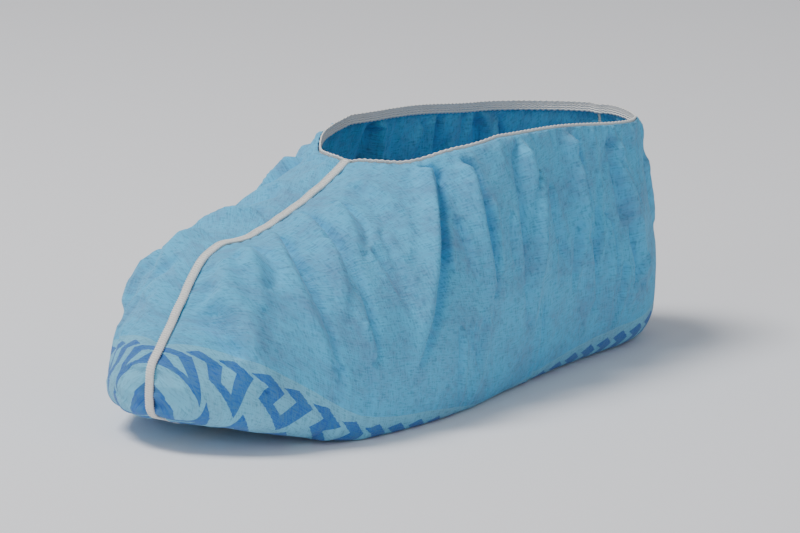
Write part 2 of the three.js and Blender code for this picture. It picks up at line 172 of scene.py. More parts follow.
class ClothSizes(bpy.types.PropertyGroup):
    """Sizes and colours of the printed cloth."""

    thickness: FloatProperty(
        name="Thickness",
        description="Thickness of the nonwoven cloth",
        default=0.35 * MM,
        min=0.0001,
        unit="LENGTH",
    )
    pleat_rise: FloatProperty(
        name="Pleat rise",
        description="Height of the fine pleats beside the seam and the opening",
        default=1.7 * MM,
        unit="LENGTH",
    )
    pleat_pitch: FloatProperty(
        name="Pleat pitch",
        description="Mean distance between fine pleats",
        default=6.6 * MM,
        unit="LENGTH",
    )
    seed: IntProperty(
        name="Seed",
        description="Chooses the places of the small folds and pleats",
        default=7,
    )
    colour: FloatVectorProperty(
        name="Cloth",
        description="Cyan blue of the cloth",
        default=(0.098, 0.510, 0.820),
        subtype="COLOR",
    )
    mottle: FloatVectorProperty(
        name="Mottle",
        description="Slate blue of the thinner places of the cloth",
        default=(0.130, 0.340, 0.570),
        subtype="COLOR",
    )
    print_colour: FloatVectorProperty(
        name="Tread print",
        description="Dark blue of the printed tread",
        default=(0.018, 0.125, 0.460),
        subtype="COLOR",
    )
    print_ground: FloatVectorProperty(
        name="Print ground",
        description="Pale aqua between the printed marks",
        default=(0.240, 0.580, 0.740),
        subtype="COLOR",
    )


class TrimSizes(bpy.types.PropertyGroup):
    """Sizes and colour of the seam binding and the opening's elastic."""

    seam_width: FloatProperty(
        name="Seam width",
        description="Width of the bound seam over the instep",
        default=4.3 * MM,
        unit="LENGTH",
    )
    seam_depth: FloatProperty(
        name="Seam depth",
        description="Depth of the bound seam",
        default=2.1 * MM,
        unit="LENGTH",
    )
    yarn: FloatProperty(
        name="Yarn",
        description="Thickness of the yarn that wraps the seam",
        default=0.34 * MM,
        unit="LENGTH",
    )
    elastic_width: FloatProperty(
        name="Elastic width",
        description="Width of the opening's flat elastic",
        default=4.4 * MM,
        unit="LENGTH",
    )
    elastic_thickness: FloatProperty(
        name="Elastic thickness",
        description="Thickness of the opening's flat elastic",
        default=0.8 * MM,
        unit="LENGTH",
    )
    colour: FloatVectorProperty(
        name="White",
        description="Off-white of the yarn and the elastic",
        default=(0.90, 0.89, 0.86),
        subtype="COLOR",
    )


def smooth_step(share):
    """Rises smoothly from 0 to 1 while share goes from 0 to 1."""
    share = np.clip(share, 0, 1)
    return share * share * (3 - 2 * share)


def quarter_ellipse(share):
    """Rises from 0 to 1 as a quarter ellipse."""
    left = 1 - np.clip(share, 0, 1)
    return np.sqrt(1 - left * left)


def travelled_along(line):
    """Length from a line's first point to each of its points."""
    steps = np.linalg.norm(np.diff(line, axis=0), axis=1)
    return np.concatenate([[0], np.cumsum(steps)])


def points_at(places, travelled, line):
    """Points of a line at given lengths along it."""
    return np.stack([np.interp(places, travelled, values) for values in line.T], 1)


def column(name, at):
    """Value of a column of the sections at shares of the length, on a smooth curve."""
    rows = SECTIONS["at"]
    values = SECTIONS[name]
    last = len(rows) - 1
    start = np.clip(np.searchsorted(rows, at, side="left") - 1, 0, last - 1)
    before = np.maximum(start - 1, 0)
    end = start + 1
    after = np.minimum(start + 2, last)
    span = rows[end] - rows[start]
    share = np.clip((at - rows[start]) / span, 0, 1)
    slope_start = (values[end] - values[before]) / (rows[end] - rows[before]) * span
    slope_end = (values[after] - values[start]) / (rows[after] - rows[start]) * span
    square = share**2
    cube = share**3
    return (
        (2 * cube - 3 * square + 1) * values[start]
        + (cube - 2 * square + share) * slope_start
        + (3 * square - 2 * cube) * values[end]
        + (cube - square) * slope_end
    )


def half_width_at(name, at):
    """Half-width of a column, rounded off at the toe and the heel."""
    ends = quarter_ellipse(at / TOE_ROUND) * quarter_ellipse((1 - at) / HEEL_ROUND)
    return SEWN_EDGE_OUT + (column(name, at) * HALF_WIDTH - SEWN_EDGE_OUT) * ends


def top_half_width(at):
    """Half-width of the top edge: the sewn edge first, then the opening's outline."""
    front = quarter_ellipse((at - OPENING_FRONT) / OPENING_FRONT_ROUND)
    back = quarter_ellipse((1 - at) / OPENING_BACK_ROUND)
    return SEWN_EDGE_OUT + (OPENING_HALF_WIDTH - SEWN_EDGE_OUT) * front * back


def section_outline(at):
    """One half's cross-section as points (out, up), cut where the opening's edge is."""
    floor = max(float(column("lift_up", at)) * CROWN_HEIGHT, 0)
    edge = float(top_half_width(at))
    parted = float(smooth_step((at - OPENING_FRONT) / OPENING_FRONT_ROUND))
    heart = np.array([SEWN_EDGE_OUT, floor])
    foot = np.array([half_width_at("foot_out", at), floor])
    side = np.array([half_width_at("side_out", at), column("side_up", at) * CROWN_HEIGHT])
    crown_out = SEWN_EDGE_OUT + (edge - SEWN_EDGE_OUT) * parted
    crown = np.array([crown_out, column("top_up", at) * CROWN_HEIGHT])
    handle_out = max(float(half_width_at("handle_out", at)), crown_out)
    handle = np.array([handle_out, column("handle_up", at) * CROWN_HEIGHT])
    over_side = np.array([side[0], side[1] + (crown[1] - side[1]) * 0.35])
    corner = np.array([side[0], floor])
    share = np.linspace(0, 1, 200)[:, None]
    rest = 1 - share
    upper = rest**3 * side + 3 * rest**2 * share * over_side + 3 * rest * share**2 * handle
    upper = upper + share**3 * crown
    if upper[-1, 0] < edge - 1e-9:
        cut = int(np.argmax(upper[:, 0] < edge))
        step = (edge - upper[cut - 1, 0]) / (upper[cut, 0] - upper[cut - 1, 0])
        upper = np.vstack([upper[:cut], upper[cut - 1] + (upper[cut] - upper[cut - 1]) * step])
    sole = heart + (foot - heart) * share
    bend = rest**2 * foot + 2 * rest * share * corner + share**2 * side
    return np.vstack([sole, bend[1:], upper[1:]])


def station_shares():
    """Shares of the length that lie evenly along the outlines of the side and the opening."""
    at = np.linspace(0, 1, 4000)
    outline = np.stack([at * LENGTH, half_width_at("side_out", at), top_half_width(at)], 1)
    travelled = travelled_along(outline)
    return np.interp(np.linspace(0, travelled[-1], STATIONS), travelled, at)


def climb_from_sole(grid):
    """Length up the cloth from the sole seam to each point of a grid."""
    steps = np.linalg.norm(np.diff(grid, axis=1), axis=2)
    return np.cumsum(np.pad(steps, ((0, 0), (1, 0))), axis=1)


def smooth_panel():
    """Grid of the smooth cloth on the side where Y is positive, and each station's share."""
    shares = station_shares()
    grid = np.zeros((STATIONS, POINTS_UP, 3))
    for station, at in enumerate(shares):
        outline = section_outline(at)
        travelled = travelled_along(outline)
        out, up = points_at(np.linspace(0, travelled[-1], POINTS_UP), travelled, outline).T
        rear = smooth_step((at - (1 - 2 * HEEL_ROUND)) / (2 * HEEL_ROUND))
        grid[station, :, 0] = (at - 0.5) * LENGTH - HEEL_LEAN * rear * (up / CROWN_HEIGHT) ** 2
        grid[station, :, 1] = out
        grid[station, :, 2] = up
    return grid, shares


def grid_normals(grid):
    """Outward unit normals of a grid on the side where Y is positive."""
    along = np.gradient(grid, axis=0)
    upward = np.gradient(grid, axis=1)
    normals = np.cross(upward, along)
    return normals / np.maximum(np.linalg.norm(normals, axis=2, keepdims=True), 1e-12)


def near_line(points, line):
    """Distance from each point to a polyline's points, and the nearest one's place along it."""
    travelled = travelled_along(line)
    places = np.linspace(0, travelled[-1], int(travelled[-1] / LINE_STEP))
    dense = points_at(places, travelled, line)
    distance = np.zeros(len(points))
    place = np.zeros(len(points))
    block = 4000
    for start in range(0, len(points), block):
        end = min(start + block, len(points))
        gaps = np.linalg.norm(points[start:end, None] - dense[None], axis=2)
        nearest = gaps.argmin(axis=1)
        distance[start:end] = gaps[np.arange(end - start), nearest]
        place[start:end] = places[nearest]
    return distance, place, travelled[-1]


def pleat_field(distance, place, total, pitch, rise, reach, random):
    """Height of seeded pleats that start at a gathered edge and run out into the cloth."""
    height = np.zeros(distance.shape)
    centre = pitch * 0.5
    while centre < total:
        width = pitch * random.uniform(0.2, 0.36)
        length = reach * random.uniform(0.35, 1.25)
        slant = random.uniform(-0.28, 0.28)
        tall = rise * random.uniform(0.45, 1.2)
        away = (place - centre - slant * distance) / (width * (1 + distance / length))
        share = distance / length
        envelope = smooth_step(share / 0.16) * np.exp(-1.6 * share**1.5)
        ridge = np.exp(-(np.abs(away) ** 1.4))
        crease = np.exp(-(((away - 1.9) / 0.8) ** 2))
        height += tall * envelope * (ridge - 0.55 * crease)
        centre += pitch * random.uniform(0.7, 1.35)
    return height


def fold_field(rows, at, climb):
    """Height of the table's folds. Each has a steep side with a crease at its foot."""
    height = np.zeros(at.shape)
    for row in rows:
        fold = dict(zip(FOLD_COLUMNS, row))
        run_along = (fold["to_at"] - fold["from_at"]) * LENGTH
        along = np.array([run_along, (fold["to_up"] - fold["from_up"]) * GIRTH])
        here_along = at * LENGTH - fold["from_at"] * LENGTH
        here_up = climb - fold["from_up"] * GIRTH
        run = np.hypot(*along)
        share = np.clip((here_along * along[0] + here_up * along[1]) / run**2, 0, 1)
        gap_along = here_along - share * along[0] - fold["bow"] * LENGTH * np.sin(np.pi * share)
        gap_up = here_up - share * along[1]
        side = np.sign(gap_along)
        middle = np.sin(np.pi * (share * 0.8 + 0.1))
        width = fold["width"] * FOLD_WIDTH * (0.55 + 0.6 * middle)
        steep = np.where(side * fold["skew"] > 0, 1 + 1.5 * abs(fold["skew"]), 1.0)
        reach = np.hypot(gap_along, gap_up) / width * steep
        ridge = (1 - 0.55 * reach**2) * np.exp(-1.15 * reach**1.4)
        crease = np.where(steep > 1, np.exp(-(((reach - 1.75) / 0.55) ** 2)), 0.0)
        taper = 1 - 0.65 * share**2
        height += FOLD_RISE * fold["rise"] * taper * (ridge - 0.6 * crease)
    return height


def small_fold_rows(random):
    """Seeded short folds that lie between the main ones."""
    rows = []
    for _ in range(SMALL_FOLDS):
        from_at = random.uniform(0.05, 0.95)
        from_up = random.uniform(0.38, 0.72)
        run = random.uniform(0.08, 0.22)
        slant = random.uniform(-0.045, 0.02)
        width = random.uniform(0.18, 0.34)
        rise = random.uniform(0.2, 0.55) * random.choice((-0.7, 1.0))
        skew = random.uniform(0.3, 0.9) * random.choice((-1, 1))
        rows.append((from_at, from_up, from_at + slant, from_up - run, 0.0, width, rise, skew))
    return rows


def crumple_field(at, climb, offset):
    """Low crumple of the whole cloth, from ridged noise in two sizes."""
    height = np.zeros(at.size)
    for index, (along, upward) in enumerate(zip((at * LENGTH).ravel(), climb.ravel())):
        for step, (long, tall, middle, rise) in enumerate(CRUMPLE_SIZES):
            place = Vector((along / long, upward / tall, offset + 9 * step))
            height[index] += rise * (middle - abs(noise.noise(place)))
    return height.reshape(at.shape)


def print_map(grid, climb, at):
    """Flat cloth coordinates: length along the cover at mid-side, and length up from the sole.
    At the toe and in the waist of the sole the seam is cut further into the print."""
    line = np.zeros((len(grid), 3))
    for station in range(len(grid)):
        level = [min(MID_SIDE, climb[station, -1])]
        line[station] = points_at(level, climb[station], grid[station])[0]
    along = np.repeat(travelled_along(line)[:, None], grid.shape[1], axis=1)
    waist = WAIST_CUT * smooth_step((at - WAIST_FROM) / WAIST_BLEND)
    toe = TOE_CUT * (1 - smooth_step(at / TOE_CUT_END)) * np.clip(1 - climb / PRINT_HIGH, 0, 1)
    return np.stack([along, climb + waist + toe], axis=2)


def folded_panel(folds, side, cloth):
    """Grid of one panel's folded cloth in its place, its flat coordinates and the station where the
    opening starts.
    """
    random = np.random.default_rng(cloth.seed + (side > 0))
    grid, shares = smooth_panel()
    climb = climb_from_sole(grid)
    at = np.repeat(shares[:, None], POINTS_UP, axis=1)
    normals = grid_normals(grid)
    front = int(np.searchsorted(shares, OPENING_FRONT))
    sewn = np.vstack([grid[front::-1, -1], grid[0, ::-1], grid[:, 0], grid[-1]])
    opening = grid[front:, -1]
    flat_points = grid.reshape(-1, 3)
    seam_gap, seam_place, seam_total = near_line(flat_points, sewn)
    edge_gap, edge_place, edge_total = near_line(flat_points, opening)
    seam_gap = seam_gap.reshape(at.shape)
    edge_gap = edge_gap.reshape(at.shape)
    seam_place = seam_place.reshape(at.shape)
    edge_place = edge_place.reshape(at.shape)
    on_top = smooth_step((normals[:, :, 2] - 0.2) / 0.5)
    reach = FOLD_FADE + (INSTEP_FADE - FOLD_FADE) * on_top
    fade = smooth_step(seam_gap / reach) * smooth_step(0.25 + edge_gap / FOLD_FADE)
    under = 1 - smooth_step((grid[:, :, 2] - SOLE_TOP) / SOLE_BLEND)
    height = fade * (fold_field(folds, at, climb) + fold_field(small_fold_rows(random), at, climb))
    crumple = crumple_field(at, climb, 30.0 * (1 + (side > 0)))
    height += fade * crumple * (1 - 0.6 * under)
    pleat = (cloth.pleat_pitch, cloth.pleat_rise)
    seam_pleats = pleat_field(seam_gap, seam_place, seam_total, *pleat, SEAM_PLEAT_REACH, random)
    height += seam_pleats * (1 - 0.45 * under) * (1 - 0.45 * on_top)
    height += pleat_field(edge_gap, edge_place, edge_total, *pleat, OPENING_PLEAT_REACH, random)
    puff = seam_gap / PUFF_REACH
    height += PUFF_RISE * puff * np.exp(1 - puff) * (1 - under)
    drift = 3 * np.sin(edge_place / RUFFLE_DRIFT)
    ruffle = RUFFLE_RISE * np.sin(2 * np.pi * edge_place / RUFFLE_PITCH + drift)
    height += ruffle * np.exp(-edge_gap / RUFFLE_FADE) * smooth_step(seam_gap / (2 * RUFFLE_FADE))
    beside_edge = 1 - smooth_step(edge_gap / CALM_REACH)
    height += (np.maximum(height, -CALM_DEPTH) - height) * beside_edge
    moved = grid + normals * height[:, :, None]
    moved[:, 0, 1] = SEWN_EDGE_OUT
    moved[0, :, 1] = SEWN_EDGE_OUT
    moved[-1, :, 1] = SEWN_EDGE_OUT
    moved[: front + 1, -1, 1] = SEWN_EDGE_OUT
    moved[:, :, 1] = np.maximum(moved[:, :, 1], SEWN_EDGE_OUT)
    moved[:, :, 2] = np.maximum(moved[:, :, 2], 0)
    moved[:, :, 1] *= side
    return moved, print_map(grid, climb, at), front


def mesh_object(name, points, faces, flat_map=None, material=None):
    """New smooth-shaded mesh object in the scene. flat_map gives each vertex's UV in metres."""
    mesh = bpy.data.meshes.new(name)
    mesh.from_pydata([tuple(point) for point in points], [], faces)
    mesh.polygons.foreach_set("use_smooth", [True] * len(mesh.polygons))
    if flat_map is not None:
        layer = mesh.uv_layers.new(name="flat_cloth")
        corners = np.zeros(len(mesh.loops), dtype=np.int32)
        mesh.loops.foreach_get("vertex_index", corners)
        layer.data.foreach_set("uv", np.asarray(flat_map)[corners].ravel())
    mesh.update()
    if material is not None:
        mesh.materials.append(material)
    piece = bpy.data.objects.new(name, mesh)
    bpy.context.scene.collection.objects.link(piece)
    return piece


def grid_faces(rows, columns, flip):
    """Quads of a grid. flip turns them over."""
    index = np.arange(rows * columns).reshape(rows, columns)
    first = index[:-1, :-1].ravel()
    second = index[:-1, 1:].ravel()
    third = index[1:, 1:].ravel()
    fourth = index[1:, :-1].ravel()
    quads = np.stack([first, second, third, fourth], 1)
    if flip:
        quads = quads[:, ::-1]
    return quads.tolist()


def ring_faces(rings, sides, closed):
    """Quads of a tube whose rings have the same number of points, with end caps if open."""
    faces = []
    for ring in range(rings if closed else rings - 1):
        following = (ring + 1) % rings
        for corner in range(sides):
            beside = (corner + 1) % sides
            here = (ring * sides + corner, ring * sides + beside)
            faces.append((*here, following * sides + beside, following * sides + corner))
    if not closed:
        faces.append(tuple(range(sides))[::-1])
        faces.append(tuple((rings - 1) * sides + corner for corner in range(sides)))
    return faces


class Value:
    """A socket of a shader tree on which Python's operators add Math nodes."""

    def __init__(self, tree, socket):
        self.tree = tree
        self.socket = socket

    def math(self, operation, *others):
        return self.tree.node("ShaderNodeMath", {"operation": operation}, self, *others)

    def __add__(self, other):
        return self.math("ADD", other)

    __radd__ = __add__

    def __sub__(self, other):
        return self.math("SUBTRACT", other)

    def __rsub__(self, other):
        return self * -1 + other

    def __mul__(self, other):
        return self.math("MULTIPLY", other)

    __rmul__ = __mul__

    def __truediv__(self, other):
        return self.math("DIVIDE", other)

    def __gt__(self, other):
        return self.math("GREATER_THAN", other)

    def __lt__(self, other):
        return self.math("LESS_THAN", other)


class Tree:
    """A material's node tree."""

    def __init__(self, name, roughness, sheen):
        self.material = bpy.data.materials.new(name)
        self.material.use_nodes = True
        self.nodes = self.material.node_tree.nodes
        self.links = self.material.node_tree.links
        self.surface = self.nodes["Principled BSDF"]
        self.surface.inputs["Roughness"].default_value = roughness
        self.surface.inputs["Specular IOR Level"].default_value = 0.25
        self.surface.inputs["Sheen Weight"].default_value = sheen
        self.surface.inputs["Sheen Roughness"].default_value = 0.5

    def node(self, kind, settings, *inputs, output=0, places=None, **named):
        """Adds a node: its settings first, then its sockets in order, by place or by name."""
        node = self.nodes.new(kind)
        for key, value in settings.items():
            setattr(node, key, value)
        pairs = [(node.inputs[place], value) for place, value in enumerate(inputs)]
        pairs += [(node.inputs[key], value) for key, value in {**(places or {}), **named}.items()]
        for socket, value in pairs:
            if isinstance(value, Value):
                self.links.new(value.socket, socket)
            else:
                socket.default_value = value
        return Value(self, node.outputs[output])

    def mix(self, factor, first, second):
        """Colour between two colours."""
        colours = [each if isinstance(each, Value) else (*each, 1.0) for each in (first, second)]
        places = {0: factor, 6: colours[0], 7: colours[1]}
        return self.node("ShaderNodeMix", {"data_type": "RGBA"}, output=2, places=places)

    def noise(self, vector, scale, detail=3.0, roughness=0.55):
        values = {"Vector": vector, "Scale": scale, "Detail": detail, "Roughness": roughness}
        return self.node("ShaderNodeTexNoise", {}, **values)

    def stretched(self, vector, scale):
        """The vector multiplied by a scale for each axis."""
        return self.node("ShaderNodeVectorMath", {"operation": "MULTIPLY"}, vector, scale)

    def ramp(self, value, low, high):
        """Rises from 0 to 1 while value goes from low to high."""
        values = {"Value": value, "From Min": low, "From Max": high}
        return self.node("ShaderNodeMapRange", {"clamp": True}, **values)

    def finish(self, colour, roughness, height, distance):
        """Feeds the surface's colour, roughness and bumped normal."""
        self.links.new(colour.socket, self.surface.inputs["Base Color"])
        self.links.new(roughness.socket, self.surface.inputs["Roughness"])
        bump = self.node("ShaderNodeBump", {}, Strength=0.8, Distance=distance, Height=height)
        self.links.new(bump.socket, self.surface.inputs["Normal"])
        return self.material


# Tread print, in flat cloth: two rows of hooks with two arms each, one row turned round
PRINT_LOW = 20 * MM
PRINT_MIDDLE = 42 * MM
PRINT_HIGH = 64 * MM
PRINT_BORDER = 1.5 * MM
MID_SIDE = 45 * MM  # the level at which the print's length is measured
WAIST_FROM = 0.3  # behind the widest part of the sole the sole seam is cut into the print
WAIST_BLEND = 0.25
WAIST_CUT = 13 * MM
TOE_CUT = 30 * MM  # how far up the flat cloth the sole seam starts at the toe
TOE_CUT_END = 0.08
ROW_GAP = -2.5 * MM  # the rows reach a little into each other
ARM_ANGLE = math.radians(50)
ARM_PITCH = 12.5 * MM  # along the seam
ARM_LENGTH = 14 * MM
ARM_WIDTH = 5.0 * MM
BASE_WIDTH = 5.0 * MM
TIP_REACH = 6.2 * MM
TIP_WIDTH = 5.4 * MM


def hook_row(along, upward):
    """1 on a row of hooks. Each has a base bar and two slanted arms with pointed ends."""
    pitch = ARM_PITCH * math.sin(ARM_ANGLE)
    slip = ARM_PITCH * math.cos(ARM_ANGLE)
    reach = along * math.cos(ARM_ANGLE) + upward * math.sin(ARM_ANGLE)
    across = along * math.sin(ARM_ANGLE) - upward * math.cos(ARM_ANGLE)
    pair = (across / (2 * pitch)).math("FLOOR")
    pair_across = across - pair * (2 * pitch)
    pair_reach = reach - pair * (2 * slip)
    arm = (across / pitch).math("FLOOR")
    off_arm = (across - arm * pitch - pitch / 2).math("ABSOLUTE")
    started = pair_reach > 0
    arms = (off_arm < ARM_WIDTH / 2) * started * (reach - arm * slip < ARM_LENGTH)
    off_base = (pair_across - pitch).math("ABSOLUTE")
    bases = (off_base < (pitch + ARM_WIDTH) / 2) * started * (pair_reach < BASE_WIDTH)

    shifted = across + (ARM_WIDTH / 2 + TIP_REACH - pitch / 2)
    tip = (shifted / pitch).math("FLOOR")
    from_point = shifted - tip * pitch
    tip_reach = reach - tip * slip
    point = ARM_LENGTH - TIP_WIDTH * 1.15
    high = (from_point * (1.75 * TIP_WIDTH / TIP_REACH) + point).math("MINIMUM", ARM_LENGTH)
    low = from_point * (0.15 * TIP_WIDTH / TIP_REACH) + point
    tips = (high - tip_reach > 0) * (tip_reach - low > 0)
    return arms + bases + tips > 0.5


def tread_mask(along, upward):
    """1 on the printed marks of the tread: one row opens upwards, the other to the sole seam."""
    drop = ARM_PITCH * math.sin(2 * ARM_ANGLE)
    outer = hook_row(along, upward - (PRINT_MIDDLE + ROW_GAP + drop))
    inner = hook_row(along * -1 + ARM_PITCH / 2, upward * -1 + (PRINT_MIDDLE - ROW_GAP - drop))
    return outer + inner > 0.5


# Noise scales, for each metre of cloth or yarn, and the colours of painted shade between threads, strands
# and ribs; the yarn's one also tints grey patches of random tone
THREAD_FINE = 1500.0
THREAD_LONG = 260.0
BLOTCH_SCALE = 55.0
FLECK_SCALE = 320.0
WOBBLE_SCALE = 900.0
PRINT_WOBBLE = 1.1 * MM
STRAND_SCALE = 2200.0
PATCH_SCALE = 420.0
FUZZ_SCALE = 1600.0
THREAD_PAINTED_SHADE = (0.03, 0.14, 0.27)
YARN_PAINTED_SHADE_AND_PATCHES = (0.42, 0.44, 0.45)
BAND_PAINTED_SHADE = (0.46, 0.48, 0.50)
BAND_CROSSING_PITCH = 0.7 * MM
BAND_RIB_PITCH = 0.9 * MM


def cloth_material(cloth):
    """Nonwoven cloth with a linen-like surface, mottling, the tread print and painted shade along its
    thread texture.
    """
    tree = Tree("cyan_cloth", 0.85, 0.12)
    flat = tree.node("ShaderNodeUVMap", {"uv_map": "flat_cloth"})
    along = tree.node("ShaderNodeSeparateXYZ", {}, flat, output=0)
    upward = tree.node("ShaderNodeSeparateXYZ", {}, flat, output=1)
    lengthwise = tree.noise(tree.stretched(flat, (THREAD_LONG, THREAD_FINE, 1.0)), 1.0, 2.0)
    crosswise = tree.noise(tree.stretched(flat, (THREAD_FINE, THREAD_LONG, 1.0)), 1.0, 2.0)
    threads = (lengthwise + crosswise) * 0.5
    blotches = tree.noise(flat, BLOTCH_SCALE, 4.0, 0.6)
    flecks = tree.noise(flat, FLECK_SCALE, 3.0, 0.65)
    thin = tree.ramp(blotches * 0.6 + flecks * 0.4, 0.44, 0.64)
    # painted shade: the cloth is darkened along the thread texture, as shade between threads
    thread_shade_mask = tree.ramp(threads, 0.5, 0.62)
    colour = tree.mix(thin * 0.9, tuple(cloth.colour), tuple(cloth.mottle))
    wobble = (tree.noise(flat, WOBBLE_SCALE, 2.0) - 0.5) * PRINT_WOBBLE
    marks = tread_mask(along + wobble, upward + wobble)
    band = (upward > PRINT_LOW) * (upward < PRINT_HIGH + PRINT_BORDER)
    worn = tree.ramp(threads, 0.60, 0.40)
    ground = tree.mix(band * 0.55, colour, tuple(cloth.print_ground))
    printed = tree.mix(marks * (0.72 + 0.26 * worn), ground, tuple(cloth.print_colour))
    # the painted shade between threads goes over both the cloth and the print
    painted_shade_colour = tree.mix(thread_shade_mask * 0.42, printed, THREAD_PAINTED_SHADE)
    roughness = 0.88 - marks * 0.16 - threads * 0.05
    height = threads + flecks * 0.5 + marks * 0.15
    return tree.finish(painted_shade_colour, roughness, height, 0.9 * MM)


def yarn_material(trim):
    """Off-white yarn with painted shade between its strands and grey patches of random tone."""
    tree = Tree("white_yarn", 0.75, 0.1)
    place = tree.node("ShaderNodeTexCoord", {}, output=3)
    strands = tree.noise(place, STRAND_SCALE, 2.0)
    patches = tree.noise(place, PATCH_SCALE, 3.0)
    # painted shade between the yarn's strands; the patches add grey tone at random
    strand_shade_mask = tree.ramp(strands, 0.50, 0.72)
    colour = tree.mix(strand_shade_mask * 0.35 + patches * 0.12, tuple(trim.colour), YARN_PAINTED_SHADE_AND_PATCHES)
    return tree.finish(colour, 0.7 + strands * 0.2, strands, 0.3 * MM)


def elastic_material(trim):
    """Ribbed off-white elastic. Its ribs follow the band and fine threads cross it; painted shade darkens
    the grooves between them.
    """
    tree = Tree("white_elastic", 0.7, 0.1)
    flat = tree.node("ShaderNodeUVMap", {"uv_map": "flat_cloth"})
    along = tree.node("ShaderNodeSeparateXYZ", {}, flat, output=0)
    across = tree.node("ShaderNodeSeparateXYZ", {}, flat, output=1)
    crossings = (along * (2 * math.pi / BAND_CROSSING_PITCH)).math("SINE")
    ribs = (across * (2 * math.pi / BAND_RIB_PITCH)).math("SINE")
    fuzz = tree.noise(flat, FUZZ_SCALE, 2.0)
    # painted shade in the grooves between the ribs and the crossing threads
    groove_shade_mask = tree.ramp(ribs + crossings * 0.5 + fuzz, 0.0, -1.2)
    colour = tree.mix(groove_shade_mask * 0.35, tuple(trim.colour), BAND_PAINTED_SHADE)
    return tree.finish(colour, 0.66 + fuzz * 0.2, ribs * 0.4 + crossings * 0.3 + fuzz, 0.3 * MM)


def build_panel(name, node, folds, side, settings):
    """One folded cloth panel that stands for its solid."""
    cloth = settings.cloth
    grid, flat_map, front = folded_panel(folds, side, cloth)
    material = bpy.data.materials.get("cyan_cloth") or cloth_material(cloth)
    points = grid.reshape(-1, 3)
    faces = grid_faces(*grid.shape[:2], flip=side < 0)
    piece = mesh_object(name, points, faces, flat_map.reshape(-1, 2), material)
    wall = piece.modifiers.new("wall", "SOLIDIFY")
    wall.thickness = cloth.thickness
    wall.offset = -1.0
    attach(piece, "root")
    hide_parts(node)

    # the elastic follows this edge
    piece["opening_edge"] = [float(value) for value in grid[front:, -1].ravel()]


def seam_route():
    """Points of the seam's middle in the centre plane, even, from the opening round to the heel."""
    grid, shares = smooth_panel()
    front = int(np.searchsorted(shares, OPENING_FRONT))
    line = np.vstack([grid[front:0:-1, -1], grid[0, ::-1], grid[1:, 0], grid[-1, 1:]])[:, [0, 2]]
    travelled = travelled_along(line)
    places = np.arange(0, travelled[-1], LINE_STEP)
    even = points_at(places, travelled, line)
    reach = 4
    window = np.ones(2 * reach + 1) / (2 * reach + 1)
    padded = np.pad(even, ((reach, reach), (0, 0)), mode="edge")
    rounded = np.stack([np.convolve(padded[:, axis], window, mode="valid") for axis in range(2)], 1)
    rounded[[0, -1]] = even[[0, -1]]
    return rounded, places


def build_seam(settings):
    """Bound seam: a padded rib in the centre plane, wrapped closely with yarn."""
    trim = settings.trim
    route, places = seam_route()
    tangent = np.gradient(route, axis=0)
    tangent /= np.linalg.norm(tangent, axis=1, keepdims=True)
    out = np.stack([tangent[:, 1], -tangent[:, 0]], 1)
    on_sole = smooth_step((-out[:, 1] - 0.75) / 0.2)
    half_wide = trim.seam_width / 2 * (1 - 0.38 * on_sole)
    half_deep = trim.seam_depth / 2 * (1 - 0.3 * on_sole)
    wave = sum(rise * np.sin(places / length + start) for rise, length, start in SEAM_WAVES)
    centre = route + out * (SEAM_OUT + wave)[:, None]
    centre[:, 1] = np.maximum(centre[:, 1], half_deep + trim.yarn)

    turn = np.linspace(0, 2 * np.pi, SEAM_SIDES, endpoint=False)
    wide = np.cos(turn)[None] * (half_wide[:, None] - trim.yarn * 0.5)
    deep = np.sin(turn)[None] * (half_deep[:, None] - trim.yarn * 0.5)
    rib = np.zeros((len(route), SEAM_SIDES, 3))
    rib[:, :, 0] = centre[:, None, 0] + out[:, None, 0] * deep
    rib[:, :, 1] = wide
    rib[:, :, 2] = centre[:, None, 1] + out[:, None, 1] * deep
    points = rib.reshape(-1, 3)
    faces = ring_faces(len(route), SEAM_SIDES, closed=False)

    count = int(places[-1] / YARN_PITCH * YARN_STEPS)
    along = np.linspace(0, places[-1], count)
    angle = 2 * np.pi * along / YARN_PITCH
    middle = points_at(along, places, centre)
    facing = points_at(along, places, out)
    wide = np.cos(angle) * np.interp(along, places, half_wide)
    deep = np.sin(angle) * np.interp(along, places, half_deep)
    level = middle + facing * deep[:, None]
    yarn_line = np.stack([level[:, 0], wide, level[:, 1]], 1)
    yarn_points = tube_points(yarn_line, trim.yarn / 2, YARN_SIDES)
    yarn_points[:, 2] = np.maximum(yarn_points[:, 2], 0)
    first = len(points)
    for face in ring_faces(count, YARN_SIDES, closed=False):
        faces.append(tuple(first + corner for corner in face))
    points = np.vstack([points, yarn_points])
    piece = mesh_object("bound_seam", points, faces, material=yarn_material(trim))
    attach(piece, "root")
    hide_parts("seam_binding")


def tube_points(line, radius, sides):
    """Rings of points round a line, square to it."""
    tangent = np.gradient(line, axis=0)
    tangent /= np.linalg.norm(tangent, axis=1, keepdims=True)
    up = np.array([0.31, 0.27, 0.91])
    first = np.cross(tangent, up)
    first /= np.maximum(np.linalg.norm(first, axis=1, keepdims=True), 1e-9)
    second = np.cross(tangent, first)
    turn = np.linspace(0, 2 * np.pi, sides, endpoint=False)
    ring = np.cos(turn)[None, :, None] * first[:, None]
    ring = ring + np.sin(turn)[None, :, None] * second[:, None]
    return (line[:, None] + radius * ring).reshape(-1, 3)


def running_mean(values, reach):
    """Mean of each value and its neighbours on a closed loop."""
    total = sum(np.roll(values, shift, axis=0) for shift in range(-reach, reach + 1))
    return total / (2 * reach + 1)


